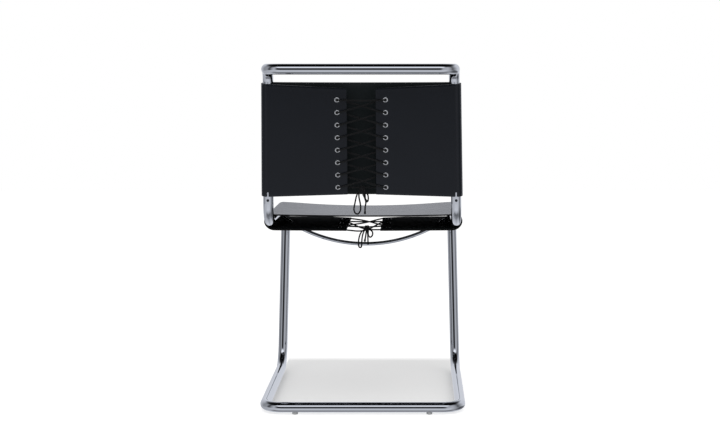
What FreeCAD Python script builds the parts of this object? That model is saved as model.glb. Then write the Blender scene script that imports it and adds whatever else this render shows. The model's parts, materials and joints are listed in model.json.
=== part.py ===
import FreeCAD, Part
import math
import os
from FreeCAD import Placement, Rotation, Vector

# A cantilever side chair. One bent steel tube carries a seat and a back of saddle leather, each a single
# sheet wrapped round the tube and laced to itself on the side that the sitter does not touch.
# Millimetres, +Z up, the sitter faces -Y, the floor is z = 0 and the chair is centred on the origin.

# Tube
tube_diameter = 25.0
tube_wall = 2.0

# Side view of the frame on the tube's centre line, as distances forward of the rear floor tube
chair_height = 842.5
rail_height = 458.0
foot_reach = 490.0
leg_top_reach = 525.0
upright_reach = 45.0
back_lean = 10.0
top_return = 66.0

# Front view of the frame: overall widths at the floor and at the top bar
base_width = 500.0
top_width = 464.0

# Bend radii on the centre line
floor_corner_bend = 42.0
foot_bend = 62.0
seat_front_bend = 60.0
seat_rear_bend = 60.0
top_bend = 34.0
top_corner_bend = 36.0

# Hidden joint in each seat rail: a spigot and two countersunk screws
joint_reach = 200.0
spigot_length = 90.0
spigot_wall = 3.0
spigot_clearance = 0.1
joint_screw_spacing = 44.0
joint_screw_shank = 4.0
joint_screw_head = 7.0
joint_screw_length = 8.0
joint_screw_sink = 0.6

# Leather of both slings
leather = 3.5
leather_clearance = 0.3

# Seat sling, as distances forward of the rear floor tube
seat_sling_rear = 97.0
seat_sling_front = 437.0
seat_sag = 5.0
seat_gap = 84.0
seat_front_slant = 38.0
seat_rear_slant = 6.0

# Back sling, as distances up the uprights from the rails
back_sling_bottom = 70.0
back_sling_top = 344.0
back_sag = 4.0
back_gap = 69.0
back_top_slant = 9.0
back_bottom_slant = 6.0
sleeve_slit_width = 4.5
sleeve_slit_height = 11.0

# Eyelets and lacing
lace_diameter = 3.8
lace_sides = 8
lace_clearance = 0.45
eyelet_bore = 6.4
eyelet_wall = 0.5
eyelet_flange = 12.0
eyelet_flange_height = 0.8
eyelet_crest = 8.4
eyelet_roll = 9.8
eyelet_roll_height = 0.5
eyelet_lead_in = 0.4
eyelet_clearance = 0.1
back_eyelet_spacing = 114.5
back_eyelet_first = 37.0
back_eyelet_pitch = 30.5
back_eyelet_rows = 8
seat_eyelet_spacing = 122.0
seat_eyelet_last = 150.0
seat_eyelet_pitch = 99.0
seat_eyelet_rows = 3
seat_lace_slack = 11.0
gap_edge_margin = 4.0

# Where two strands of a lacing cross they keep this far from the level midway, each to its own side
crossing_offset = 2.8

# Bows: the knot, and the end knots of the tails
knot_length = 13.0
knot_diameter = 11.0
knot_end_diameter = 6.8
end_knot_diameter = 5.8
end_knot_length = 6.0
back_knot_x = -0.6
back_knot_up = 92.0
seat_knot_x = -7.0
seat_knot_reach = 156.0
seat_knot_height = 440.0

# Brace bow under the seat
brace_diameter = 10.0
brace_drop = 79.5
brace_reach = 280.0
brace_film = 0.05
brace_slot_clearance = 2.5

# Stop screws that keep the back sling from sliding down
stop_screw_height = 60.0
stop_screw_head = 7.0
stop_screw_head_height = 2.6
stop_screw_shank = 4.0
stop_screw_length = 9.0
stop_screw_socket = 3.0
stop_screw_socket_depth = 1.4

# Floor glides
glide_height = 4.0
glide_diameter = 14.0
glide_chamfer = 1.2
glide_stem = 6.0
glide_stem_length = 8.0
glide_wrap = 2.4
glide_clearance = 0.1
rear_glide_offset = 162.0
front_glide_reach = 395.0

# Running clearance of a shank in its hole
hole_clearance = 0.1

# Worked out from the above
tube_radius = tube_diameter / 2
lace_radius = lace_diameter / 2
floor_axis = glide_height + tube_radius
top_axis = chair_height - tube_radius
side_taper = (base_width - top_width) / 2 / (top_axis - floor_axis)
lean = math.radians(back_lean)
top_reach = upright_reach - math.tan(lean) * (top_axis - rail_height)
bar_reach = top_reach - top_return
wrap_inner = tube_radius + leather_clearance
wrap_outer = wrap_inner + leather
back_eyelet_x = back_eyelet_spacing / 2
seat_eyelet_x = seat_eyelet_spacing / 2
back_eyelet_ups = [
    back_sling_top - back_eyelet_first - i * back_eyelet_pitch for i in range(back_eyelet_rows)
]
seat_eyelet_reaches = [
    seat_eyelet_last + i * seat_eyelet_pitch for i in reversed(range(seat_eyelet_rows))
]

# Levels of the lace outside and inside a flap, as distances from the tubes' centre plane
lace_outside = wrap_outer + eyelet_flange_height + lace_radius + lace_clearance
lace_inside = wrap_inner - eyelet_roll_height - lace_radius - lace_clearance
lace_between = (lace_outside + lace_inside) / 2


def half_width(height):
    """Distance of the tube's centre line from the middle plane: the sides close in as they rise."""
    return (base_width - tube_diameter) / 2 - side_taper * (height - floor_axis)


def tangent_length(before, corner, after, radius):
    """How far from a corner an arc of this radius leaves its two runs."""
    turn = (corner - before).getAngle(after - corner)
    return radius * math.tan(turn / 2)


# The chair is centred between its front seat bends and its top bar
leg_slope = Vector(0, leg_top_reach - foot_reach, floor_axis - rail_height)
front_bend_setback = tangent_length(Vector(0, 1, 0), Vector(0, 0, 0), leg_slope, seat_front_bend)
front_reach = leg_top_reach - front_bend_setback + seat_front_bend + tube_radius
centre_reach = (front_reach + bar_reach - tube_radius) / 2


def point(x, reach, height):
    """A point by its distance forward of the rear floor tube and its height above the floor."""
    return Vector(x, centre_reach - reach, height)


def side_point(side, reach, height):
    """A point on the centre line of the frame's side, 1 for +X and -1 for -X."""
    return point(side * half_width(height), reach, height)


rail_half_width = half_width(rail_height)
leftwards = Vector(1, 0, 0)
downwards = Vector(0, 0, -1)
back_frame = Placement(point(0, upright_reach, rail_height), Rotation(Vector(1, 0, 0), -back_lean))


rearwards = back_frame.Rotation.multVec(Vector(0, 1, 0))


def back_point(x, out, up):
    """A point in the back's own frame: out towards the rear from the uprights' plane, up along them."""
    return back_frame.multVec(Vector(x, out, up))


def upright_half_width(up):
    """Distance of an upright's centre line from the middle plane, this far up the back."""
    return half_width(rail_height + up * math.cos(lean))


def arc_through_corner(before, corner, after, radius):
    """Start, middle and end of the arc that rounds a corner."""
    back = (before - corner).normalize()
    on = (after - corner).normalize()
    reach = tangent_length(before, corner, after, radius)
    start = corner + back * reach
    end = corner + on * reach
    bisector = (back + on).normalize()
    centre = corner + bisector * math.hypot(radius, reach)
    return start, centre - bisector * radius, end


def rounded_path(points, radii):
    """A wire of straight runs joined by tangent arcs."""
    edges = []
    last = points[0]
    for i, radius in enumerate(radii, 1):
        start, middle, end = arc_through_corner(points[i - 1], points[i], points[i + 1], radius)
        if last.distanceToPoint(start) > 1e-4:
            edges.append(Part.LineSegment(last, start).toShape())
        edges.append(Part.Arc(start, middle, end).toShape())
        last = end
    edges.append(Part.LineSegment(last, points[-1]).toShape())
    return Part.Wire(edges)


def swept_round(points, radii, diameter):
    """A round bar along a rounded path."""
    circle = Part.Wire(Part.makeCircle(diameter / 2, points[0], points[1] - points[0]))
    return rounded_path(points, radii).makePipeShell([circle], True, False)


def swept_lace(points, radii):
    """The lace along a rounded path, with as many flats as lace_sides and a round lace's cross-section."""
    ahead = (points[1] - points[0]).normalize()
    across = ahead.cross(Vector(0, 0, 1) if abs(ahead.z) < 0.9 else leftwards).normalize()
    beside = ahead.cross(across)
    step = 2 * math.pi / lace_sides
    radius = lace_radius * math.sqrt(step / math.sin(step))
    corners = [
        points[0] + across * radius * math.cos(i * step) + beside * radius * math.sin(i * step)
        for i in range(lace_sides)
    ]
    section = Part.makePolygon(corners + corners[:1])
    return rounded_path(points, radii).makePipeShell([section], True, False)


def swept_tube(points, radii):
    """The frame's tube along a rounded path."""
    bar = swept_round(points, radii, tube_diameter)
    return bar.cut(swept_round(points, radii, tube_diameter - 2 * tube_wall))


def lace_along(name, points):
    """The lace along a route. Each corner is as round as the shorter of its two runs allows."""
    radii = []
    for i in range(1, len(points) - 1):
        before = points[i] - points[i - 1]
        after = points[i + 1] - points[i]
        radii.append(0.45 * min(before.Length, after.Length) / math.tan(before.getAngle(after) / 2))
    lace = swept_lace(points, radii)
    length = rounded_path(points, radii).Length
    share = lace.Volume / (length * math.pi * lace_radius ** 2)
    print(name, "length", round(length, 1), "least radius", round(min(radii), 2), "volume share", round(share, 4))
    return lace


def revolved(profile, origin, axis):
    """A solid of revolution from its profile as (radius, distance along the axis)."""
    points = [Vector(r, 0, along) for r, along in profile]
    face = Part.Face(Part.makePolygon(points + points[:1]))
    solid = face.revolve(Vector(0, 0, 0), Vector(0, 0, 1), 360)
    solid.Placement = Placement(origin, Rotation(Vector(0, 0, 1), axis))
    return solid


def write(name, solids):
    """Writes the solids of one node."""
    for solid in solids:
        if not solid.isValid() or solid.ShapeType != "Solid":
            print("not a valid solid:", name, solid.ShapeType)
    shape = solids[0] if len(solids) == 1 else Part.makeCompound(solids)
    shape.exportStep("parts/" + name + ".step")
    print(name, len(solids), "solids", round(sum(solid.Volume for solid in solids)), "mm3")


def both_sides(make):
    """The same piece on the +X side and on the -X side."""
    return [make(1), make(-1)]


# Frame


def base_path():
    """Corners and bends of the tube that makes the seat rails, the front legs and the floor frame."""
    half = [
        side_point(1, joint_reach, rail_height),
        side_point(1, leg_top_reach, rail_height),
        side_point(1, foot_reach, floor_axis),
        side_point(1, 0, floor_axis),
    ]
    radii = [seat_front_bend, foot_bend, floor_corner_bend]
    return mirrored(half), radii + radii[::-1]


def back_path():
    """Corners and bends of the tube that makes the rear of the rails, the uprights and the top bar."""
    half = [
        side_point(1, joint_reach, rail_height),
        side_point(1, upright_reach, rail_height),
        side_point(1, top_reach, top_axis),
        side_point(1, bar_reach, top_axis),
    ]
    radii = [seat_rear_bend, top_bend, top_corner_bend]
    return mirrored(half), radii + radii[::-1]


def mirrored(points):
    """A path that goes on along the other side of the chair, back to where it began."""
    return points + [Vector(-p.x, p.y, p.z) for p in points[::-1]]


def joint_screw(head):
    """A countersunk screw that goes up from the face of its head."""
    radius = joint_screw_head / 2
    shank = joint_screw_shank / 2
    profile = [(0, 0), (radius, 0), (shank, radius - shank), (shank, joint_screw_length), (0, joint_screw_length)]
    return revolved(profile, head, Vector(0, 0, 1))


def joint_screw_hole(head):
    """The countersunk hole of such a screw, open below."""
    radius = joint_screw_head / 2 + hole_clearance
    shank = joint_screw_shank / 2 + hole_clearance
    end = joint_screw_length + hole_clearance
    profile = [(0, -1), (radius, -1), (radius, 0), (shank, radius - shank), (shank, end), (0, end)]
    return revolved(profile, head, Vector(0, 0, 1))


def joint_screw_heads(side):
    """Where the two screw heads of one rail's joint sit, in the rail's underside."""
    height = rail_height - tube_radius + joint_screw_sink
    return [
        point(side * rail_half_width, joint_reach + end * joint_screw_spacing / 2, height) for end in (-1, 1)
    ]


def stop_screw(side):
    """A button head screw in the rear of an upright, just under the back sling."""
    head = stop_screw_head / 2
    shank = stop_screw_shank / 2
    outer = stop_screw_head_height
    profile = [
        (0, stop_screw_socket_depth - outer),
        (stop_screw_socket / 2, stop_screw_socket_depth - outer),
        (stop_screw_socket / 2, -outer),
        (head * 0.6, -outer),
        (head * 0.92, -outer * 0.6),
        (head, 0),
        (shank, 0),
        (shank, stop_screw_length),
        (0, stop_screw_length),
    ]
    seat = back_point(side * upright_half_width(stop_screw_height), tube_radius, stop_screw_height)
    return revolved(profile, seat, -rearwards)


def stop_screw_hole(side):
    """The drilled hole of a stop screw, through the rear wall only."""
    start = back_point(side * upright_half_width(stop_screw_height), tube_radius + 1, stop_screw_height)
    return Part.makeCylinder(stop_screw_shank / 2 + hole_clearance, tube_radius, start, -rearwards)


def make_rail_spigot(side):
    """The sleeve inside a seat rail that joins its two tubes."""
    radius = tube_radius - tube_wall - spigot_clearance
    start = point(side * rail_half_width, joint_reach + spigot_length / 2, rail_height)
    outer = Part.makeCylinder(radius, spigot_length, start, Vector(0, 1, 0))
    inner = Part.makeCylinder(radius - spigot_wall, spigot_length, start, Vector(0, 1, 0))
    return outer.cut([inner] + [joint_screw_hole(head) for head in joint_screw_heads(side)])


def floor_glide(x, reach, along):
    """A glide: its foot hollowed to the round of the tube above it, its stem up through the tube's wall."""
    foot = glide_diameter / 2
    top = glide_height + glide_wrap
    profile = [(0, 0), (foot - glide_chamfer, 0), (foot, glide_chamfer), (foot, top), (0, top)]
    start = point(x, reach, floor_axis) - along * glide_diameter
    tube = Part.makeCylinder(tube_radius + glide_clearance, 2 * glide_diameter, start, along)
    stem = Part.makeCylinder(glide_stem / 2, glide_stem_length, point(x, reach, glide_height / 2), Vector(0, 0, 1))
    return revolved(profile, point(x, reach, 0), Vector(0, 0, 1)).cut(tube).fuse(stem)


def glide_hole(x, reach):
    """The hole in the underside of the tube for a glide's stem."""
    return Part.makeCylinder(glide_stem / 2 + hole_clearance, floor_axis, point(x, reach, 0), Vector(0, 0, 1))


# Brace bow


def brace_arc(diameter):
    """A round bar on the bow's arc, from one rail's centre line to the other's."""
    radius = (rail_half_width ** 2 + brace_drop ** 2) / (2 * brace_drop)
    tangent = math.asin(rail_half_width / radius)
    start = point(rail_half_width, brace_reach, rail_height)
    end = point(-rail_half_width, brace_reach, rail_height)
    path = Part.Wire(Part.Arc(start, point(0, brace_reach, rail_height - brace_drop), end).toShape())
    direction = Vector(-math.cos(tangent), 0, -math.sin(tangent))
    circle = Part.Wire(Part.makeCircle(diameter / 2, start, direction))
    return path.makePipeShell([circle], True, False)


def rail_cylinder(side, radius):
    """A cylinder round a seat rail where the brace meets it."""
    start = point(side * rail_half_width, brace_reach + 2 * tube_diameter, rail_height)
    return Part.makeCylinder(radius, 4 * tube_diameter, start, Vector(0, 1, 0))


# Leather


def sling_outline(place, width, sag, gap):
    """A sling's section: place turns (x, n) into a point, n being outwards on the sitter's side."""
    centre_distance = (width ** 2 + sag ** 2) / (2 * sag)
    height = centre_distance - sag
    lean_in = width / centre_distance
    lift = height / centre_distance

    def wrap(side, radius):
        """Four points round one tube: under it, outermost, and where the sag begins."""
        return [
            (side * width, -radius),
            (side * (width + radius * math.sqrt(0.5)), -radius * math.sqrt(0.5)),
            (side * (width + radius), 0),
            (side * (width + radius * math.cos(math.pi / 4)), radius * math.sin(math.pi / 4)),
            (side * (width - radius * lean_in), radius * lift),
        ]

    def turn(radius):
        """Edges of one face of the leather, from the flap on the +X side to the flap on the -X side."""
        right = [place(x, n) for x, n in wrap(1, radius)]
        left = [place(x, n) for x, n in wrap(-1, radius)]
        lowest = place(0, height - (centre_distance - radius))
        return [
            Part.LineSegment(place(gap / 2, -radius), right[0]).toShape(),
            Part.Arc(right[0], right[1], right[2]).toShape(),
            Part.Arc(right[2], right[3], right[4]).toShape(),
            Part.Arc(right[4], lowest, left[4]).toShape(),
            Part.Arc(left[4], left[3], left[2]).toShape(),
            Part.Arc(left[2], left[1], left[0]).toShape(),
            Part.LineSegment(left[0], place(-gap / 2, -radius)).toShape(),
        ]

    ends = [
        Part.LineSegment(place(side * gap / 2, -wrap_inner), place(side * gap / 2, -wrap_outer)).toShape()
        for side in (1, -1)
    ]
    inner = turn(wrap_inner)
    outer = turn(wrap_outer)
    return Part.Wire(Part.sortEdges(inner + outer + ends)[0])


def seat_place(reach):
    """Turns a section's (x, n) into a point of the seat at this reach."""
    return lambda x, n: point(x, reach, rail_height + n)


def back_place(up):
    """Turns a section's (x, n) into a point of the back this far up, n being towards the sitter."""
    return lambda x, n: back_point(x, -n, up)


def flap_wedge(place, width, gap, slant):
    """What a flap's slanted end takes off: place turns (x, slant, n) into a point."""
    corners = [(width, 0), (gap / 2 - 1, 0), (gap / 2 - 1, slant)]
    points = [place(x, back, -wrap_outer - 1) for x, back in corners]
    face = Part.Face(Part.makePolygon(points + points[:1]))
    return face.extrude(place(width, 0, -wrap_inner + 1) - points[0])


def make_seat_sling():
    """The seat: one sheet round both rails, its flaps turned in under the seat."""
    profile = Part.Face(sling_outline(seat_place(seat_sling_front), rail_half_width, seat_sag, seat_gap))
    sling = profile.extrude(Vector(0, seat_sling_front - seat_sling_rear, 0))
    cutters = []
    for side in (1, -1):
        cutters.append(flap_wedge(
            lambda x, back, n: point(side * x, seat_sling_front + 0.01 - back, rail_height + n),
            rail_half_width, seat_gap, seat_front_slant,
        ))
        cutters.append(flap_wedge(
            lambda x, back, n: point(side * x, seat_sling_rear - 0.01 + back, rail_height + n),
            rail_half_width, seat_gap, seat_rear_slant,
        ))
        for reach in seat_eyelet_reaches:
            cutters.append(eyelet_hole(point(side * seat_eyelet_x, reach, rail_height), downwards))
    cutters.append(brace_arc(brace_diameter + 2 * brace_slot_clearance))
    return sling.cut(cutters)


def make_back_sling():
    """The back: one sheet round both uprights, its flaps turned in behind the back."""
    sections = [
        sling_outline(back_place(up), upright_half_width(up), back_sag, back_gap)
        for up in (back_sling_bottom, back_sling_top)
    ]
    sling = Part.makeLoft(sections, True, True)
    cutters = []
    for side in (1, -1):
        cutters.append(flap_wedge(
            lambda x, back, n: back_point(side * x, -n, back_sling_top + 0.01 - back),
            upright_half_width(back_sling_top), back_gap, back_top_slant,
        ))
        cutters.append(flap_wedge(
            lambda x, back, n: back_point(side * x, -n, back_sling_bottom - 0.01 + back),
            upright_half_width(back_sling_bottom), back_gap, back_bottom_slant,
        ))
        for up in back_eyelet_ups:
            cutters.append(eyelet_hole(back_point(side * back_eyelet_x, 0, up), rearwards))
        cutters.append(sleeve_slit(side))
    return sling.cut(cutters)


def sleeve_slit(side):
    """The slit in the rear of a back sleeve, open at its lower edge, that clears the stop screw."""
    width = sleeve_slit_width
    low = back_sling_bottom - 1
    x = side * upright_half_width(back_sling_bottom)
    box = Part.makeBox(width, leather + 2, sleeve_slit_height + 1)
    box.Placement = Placement(back_point(x - width / 2, wrap_inner - 1, low), back_frame.Rotation)
    return box


# Eyelets


def eyelet_hole(origin, outwards):
    """The punched hole through a flap, from a point on the tubes' centre plane."""
    radius = eyelet_bore / 2 + eyelet_wall + eyelet_clearance
    return Part.makeCylinder(radius, leather + 2, origin + outwards * (wrap_inner - 1), outwards)


def eyelet(origin, outwards):
    """An eyelet set through a flap: a domed flange outside, and inside the end that is rolled over."""
    bore = eyelet_bore / 2
    barrel = bore + eyelet_wall
    profile = [
        (bore, wrap_inner - eyelet_roll_height),
        (bore, wrap_outer + eyelet_lead_in),
        (eyelet_crest / 2, wrap_outer + eyelet_flange_height),
        (eyelet_flange / 2, wrap_outer),
        (barrel, wrap_outer),
        (barrel, wrap_inner),
        (eyelet_roll / 2, wrap_inner),
    ]
    return revolved(profile, origin, outwards)


def back_eyelets(side):
    """The eyelets of one back flap."""
    return [eyelet(back_point(side * back_eyelet_x, 0, up), rearwards) for up in back_eyelet_ups]


def seat_eyelets(side):
    """The eyelets of one seat flap."""
    return [
        eyelet(point(side * seat_eyelet_x, reach, rail_height), downwards)
        for reach in seat_eyelet_reaches
    ]


# Lacing


def strand(side, eyelet_x, gap, rows, slack):
    """One of a lacing's two strands as (x, out, along), from its first eyelet to its last one."""
    edge = gap / 2 - gap_edge_margin
    route = []
    for i, along in enumerate(rows):
        route += [(side * eyelet_x, lace_outside, along), (side * eyelet_x, lace_inside, along)]
        if i == len(rows) - 1:
            break
        step = rows[i + 1] - along

        def across(x):
            """How far along the strand is when it is this far over."""
            return along + step * (1 - x / eyelet_x) / 2

        hangs = i == len(rows) - 2 and slack > 0
        level = lace_outside + slack if hangs else lace_between
        middle = level - side * crossing_offset
        route += [(side * edge, lace_inside, across(edge)), (0, middle, across(0))]
        if not hangs:
            route.append((-side * edge, lace_outside, across(-edge)))
        side = -side
    return route, side


def lacing_route(eyelet_x, gap, rows, slack, knot, bowing):
    """The whole lace from one end of its knot to the other, as (x, out, along). The two ends and the bar
    across the first row bow a little along the gap."""
    strands = []
    for side in (1, -1):
        route, last_side = strand(side, eyelet_x, gap, rows, slack)
        x, out, along = knot
        route.append((last_side * (gap / 2 - gap_edge_margin), lace_inside, rows[-1] + bowing))
        route.append((x + last_side * knot_length / 4, out, along))
        strands.append(route)
    top = (0, lace_outside - bowing / 2, rows[0] + bowing)
    return strands[0][::-1] + [top] + strands[1]


def make_lace(name, eyelet_x, gap, rows, slack, knot, bowing, place):
    """A whole lacing up to its knot: place turns (x, out, along) into a point."""
    route = lacing_route(eyelet_x, gap, rows, slack, knot, bowing)
    return single(lace_along(name, [place(*at) for at in route]).cut(make_bow_knot(place(*knot))))


# Bows, as offsets (x, towards the rear, up) from the middle of the knot

back_bow = {
    "back_bow_loop_left": [
        (4.2, -2.1, 0), (5.2, -2.3, -8), (13.5, -2.2, -17), (18.0, -1.6, -40), (20.8, -1.0, -53),
        (17.5, -0.4, -62.5), (10.5, 0.4, -65), (4.0, 1.0, -57), (3.6, 1.7, -43), (9.2, 2.5, -18),
        (4.6, 2.3, -7), (4.2, 2.1, 0),
    ],
    "back_bow_loop_right": [
        (-4.2, -2.1, 0), (-5.0, -2.3, -7), (-10.5, -2.4, -13), (-14.8, -1.8, -21), (-14.2, -0.9, -34.6),
        (-7.8, 1.2, -34.6), (-6.8, 2.2, -16), (-4.6, 2.2, -7), (-4.2, 2.1, 0),
    ],
    "back_bow_tail_long": [
        (0, -2.1, 0), (-0.4, -2.7, -9), (-4.0, -5.2, -22), (-9.4, -5.6, -36), (-6.4, -4.2, -48), (-6.3, -3.8, -58.6),
    ],
    "back_bow_tail_short": [
        (0, 2.1, 0), (0.3, 3.2, -9), (-3.0, 6.0, -20), (-9.6, 6.4, -30),
    ],
}
seat_bow = {
    "seat_bow_loop_left": [
        (4.2, -2.1, 0), (5.4, -2.3, -7), (13.5, -2.4, -11), (18.8, -1.8, -22), (21.4, -1.0, -36),
        (20.6, -0.3, -51.5), (13.0, 0.8, -51.5), (12.9, 1.5, -34), (10.8, 2.2, -19),
        (6.8, 2.3, -9.5), (4.2, 2.1, 0),
    ],
    "seat_bow_loop_right": [
        (-4.2, -2.1, 0), (-5.0, -2.4, -6.5), (-11.0, -2.4, -8.5), (-15.2, -1.9, -14.5), (-13.2, -1.0, -23),
        (-7.7, 0.2, -26.5), (-3.0, 1.6, -20.5), (-3.6, 2.6, -9), (-4.2, 2.1, 0),
    ],
    "seat_bow_tail_long": [
        (0, -2.1, 0), (-0.9, -2.9, -8), (-2.2, -4.2, -21), (-2.6, -4.0, -38.5),
    ],
    "seat_bow_tail_short": [
        (0, 2.1, 0), (1.3, 3.3, -8), (2.4, 5.2, -19), (4.4, 4.8, -30),
    ],
}


def make_bow_knot(centre):
    """The knot of a bow, a barrel along X."""
    end = knot_length / 2
    belly = knot_diameter / 2
    neck = knot_end_diameter / 2
    profile = [(0, -end), (neck, -end), (belly, -end / 3), (belly, end / 3), (neck, end), (0, end)]
    return revolved(profile, centre, leftwards)


def end_knot(end, direction):
    """The small knot that ends a tail."""
    belly = end_knot_diameter / 2
    length = end_knot_length
    profile = [(0, 0), (belly * 0.7, 0), (belly, length / 2), (belly * 0.6, length), (0, length)]
    return revolved(profile, end, direction)


def write_bow(prefix, pieces, centre):
    """Writes a bow: its knot, its two loops, its two tails and their end knots."""
    knot = make_bow_knot(centre)
    write(prefix + "_bow_knot", [knot])
    end_knots = []
    for name, offsets in pieces.items():
        points = [centre + Vector(*offset) for offset in offsets]
        write(name, [single(lace_along(name, points).cut(knot))])
        if "tail" in name:
            end_knots.append(end_knot(points[-1], points[-1] - points[-2]))
    write(prefix + "_bow_end_knots", end_knots)


def single(shape):
    """The one solid that a cut or a fusion leaves."""
    if len(shape.Solids) != 1:
        print("in pieces:", len(shape.Solids))
    return shape.Solids[0]


# Building

os.makedirs("parts", exist_ok=True)

joint_holes = [joint_screw_hole(head) for side in (1, -1) for head in joint_screw_heads(side)]
glides = {
    "floor_glide_rear_left": (rear_glide_offset, 0, Vector(1, 0, 0)),
    "floor_glide_rear_right": (-rear_glide_offset, 0, Vector(1, 0, 0)),
    "floor_glide_front_left": (half_width(floor_axis), front_glide_reach, Vector(0, 1, 0)),
    "floor_glide_front_right": (-half_width(floor_axis), front_glide_reach, Vector(0, 1, 0)),
}
glide_holes = [glide_hole(x, reach) for x, reach, along in glides.values()]
write("base_frame_tube", [single(swept_tube(*base_path()).cut(joint_holes + glide_holes))])
write("back_frame_tube", [single(swept_tube(*back_path()).cut(joint_holes + both_sides(stop_screw_hole)))])
write("rail_spigot_left", [single(make_rail_spigot(1))])
write("rail_spigot_right", [single(make_rail_spigot(-1))])
write("rail_joint_screws", [joint_screw(head) for side in (1, -1) for head in joint_screw_heads(side)])
for name, (x, reach, along) in glides.items():
    write(name, [single(floor_glide(x, reach, along))])

rails = [rail_cylinder(side, tube_radius + brace_film) for side in (1, -1)]
write("seat_brace_bow", [single(brace_arc(brace_diameter).cut(rails))])

write("seat_sling", [single(make_seat_sling())])
write("back_sling", [single(make_back_sling())])
write("sleeve_stop_screws", both_sides(stop_screw))
for side, hand in ((1, "left"), (-1, "right")):
    write("back_eyelets_" + hand, back_eyelets(side))
    write("seat_eyelets_" + hand, seat_eyelets(side))

back_knot = (back_knot_x, lace_inside, back_knot_up)
write("back_lace", [make_lace(
    "back lace", back_eyelet_x, back_gap, back_eyelet_ups, 0, back_knot, -1.5, back_point,
)])
write_bow("back", back_bow, back_point(*back_knot))

seat_knot = (seat_knot_x, rail_height - seat_knot_height, seat_knot_reach)
write("seat_lace", [make_lace(
    "seat lace", seat_eyelet_x, seat_gap, seat_eyelet_reaches, seat_lace_slack, seat_knot, -1.5,
    lambda x, out, along: point(x, along, rail_height - out),
)])
write_bow("seat", seat_bow, point(seat_knot_x, seat_knot_reach, seat_knot_height))
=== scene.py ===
"""A cantilever side chair of bent chromed tube and laced black saddle leather, dressed over its construction model.

Every length is in metres, in the row frame: +Z is up, the floor is z = 0 and the sitter faces -Y. A reach is a
distance forward of the rear floor tube, and an out is a distance behind the sitter's side of a sling.
"""

import json
import logging
import math
from collections.abc import Sequence
from dataclasses import dataclass, field
from enum import Enum

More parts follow.
